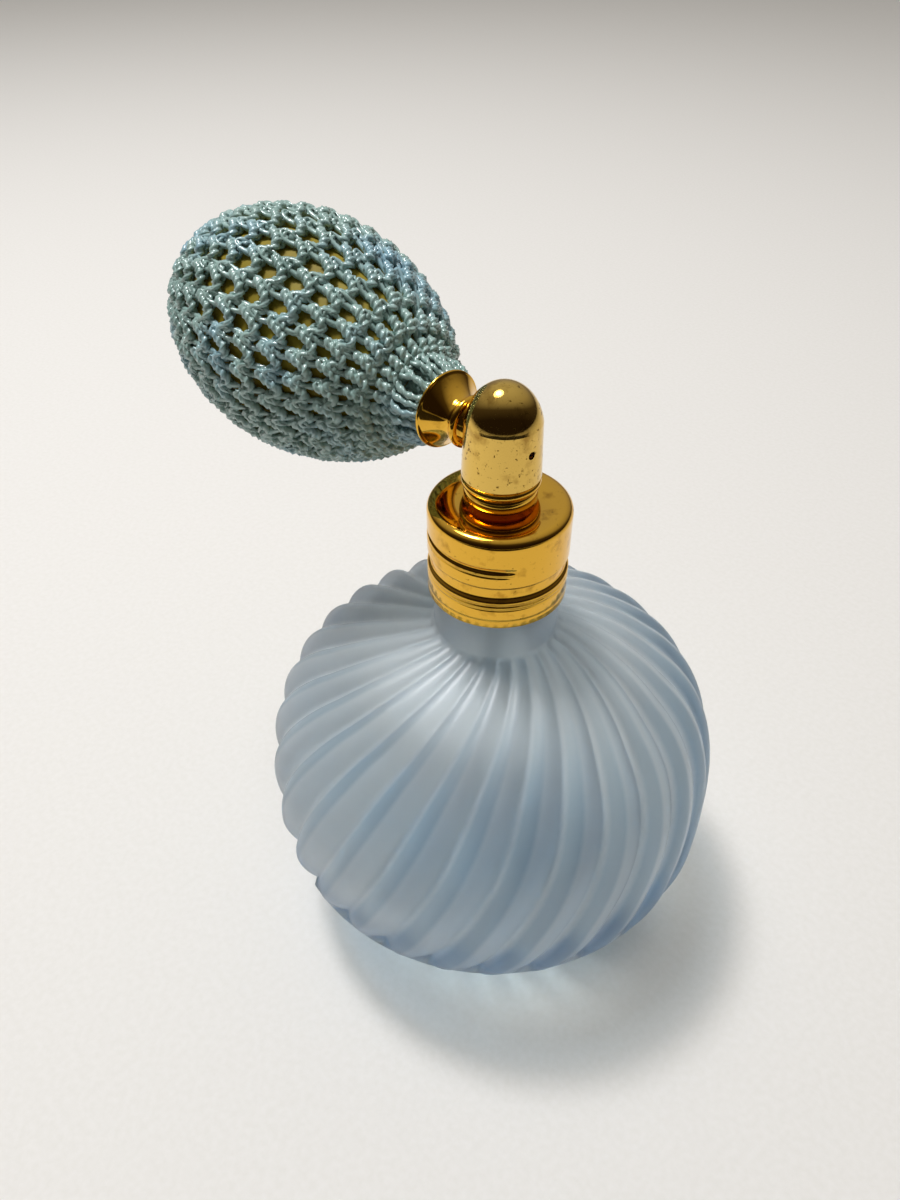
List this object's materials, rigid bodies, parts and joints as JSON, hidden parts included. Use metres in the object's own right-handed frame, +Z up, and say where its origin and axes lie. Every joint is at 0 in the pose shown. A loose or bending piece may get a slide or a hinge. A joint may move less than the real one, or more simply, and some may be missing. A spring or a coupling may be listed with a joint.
{
  "type": "perfume atomiser",
  "caption": "Ribbed frosted glass scent bottle with a screw-on gilt collar, a swivelling domed spray head and a squeezable rubber bulb in a crocheted net.",
  "frame": {"origin": "centre of the bottle's flat base, on the bottle's axis, at the height of the surface it stands on", "axes": "+Z up along the bottle's axis; +X the way the spray leaves; the rubber bulb lies along -X"},
  "size_m": [0.1072, 0.0726, 0.1066],
  "materials": {
    "frosted_glass": "acid-etched, pale blue",
    "gilt_brass": "gold-plated, polished",
    "polished_brass": "pale gold plate, polished, lightly worn",
    "turned_brass": "turned, unplated",
    "steel": "bright",
    "white_plastic": "moulded",
    "clear_plastic": "extruded, clear",
    "seal_rubber": "moulded",
    "bulb_rubber": "dipped, yellow-olive",
    "net_thread": "twisted rayon, crocheted, grey-blue",
    "tinned_wire": "dull"
  },
  "bodies": {
    "bottle": {"bottle": "frosted_glass", "neck": "frosted_glass"},
    "seal": {"sealing_washer": "seal_rubber"},
    "closure": {"stem": "turned_brass", "swivel_ring": "gilt_brass", "dip_tube": "clear_plastic"},
    "collar": {"screw_collar": "gilt_brass"},
    "head": {"head_shell": "polished_brass", "bead_ring": "gilt_brass", "head_core": "white_plastic", "retaining_ring": "steel", "swivel_seal": "seal_rubber", "spray_jet": "turned_brass", "air_spigot": "turned_brass", "spigot_nut": "gilt_brass", "bulb_flare": "gilt_brass", "outlet_pin": "steel", "outlet_seat": "turned_brass", "neck_binding": "tinned_wire", "rubber_bulb": "bulb_rubber", "crochet_net": "net_thread", "net_drawstring": "net_thread"},
    "outlet_ball": {"outlet_ball": "steel"},
    "tail_valve": {"intake_valve": "turned_brass", "intake_cap": "turned_brass"},
    "intake_ball": {"intake_ball": "steel"}
  },
  "joints": [
    {"name": "lift_out", "type": "slide", "parent": "bottle", "child": "seal", "axis": [0, 0, 1], "range_m": [0, 0.072]},
    {"name": "thread_rise", "type": "slide", "parent": "seal", "child": "closure", "axis": [0, 0, 1], "range_m": [0, 0.0038]},
    {"name": "collar_turn", "type": "hinge", "parent": "closure", "child": "collar", "pos_m": [0, 0, 0.072], "axis": [0, 0, 1], "range_deg": [0, 432]},
    {"name": "head_swivel", "type": "hinge", "parent": "closure", "child": "head", "pos_m": [0, 0, 0.085], "axis": [0, 0, 1], "continuous": true},
    {"name": "outlet_open", "type": "slide", "parent": "head", "child": "outlet_ball", "axis": [1, 0, 0], "range_m": [0, 0.0005]},
    {"name": "bulb_squeeze", "type": "slide", "parent": "head", "child": "tail_valve", "axis": [1, 0, 0], "range_m": [0, 0.016], "stiffness_N_per_m": 300, "deforming": ["rubber_bulb", "crochet_net"]},
    {"name": "intake_open", "type": "slide", "parent": "tail_valve", "child": "intake_ball", "axis": [1, 0, 0], "range_m": [0, 0.0009]}
  ],
  "couplings": [
    {"joint": "collar_turn", "follows": "thread_rise", "rad_per_m": 1979}
  ]
}
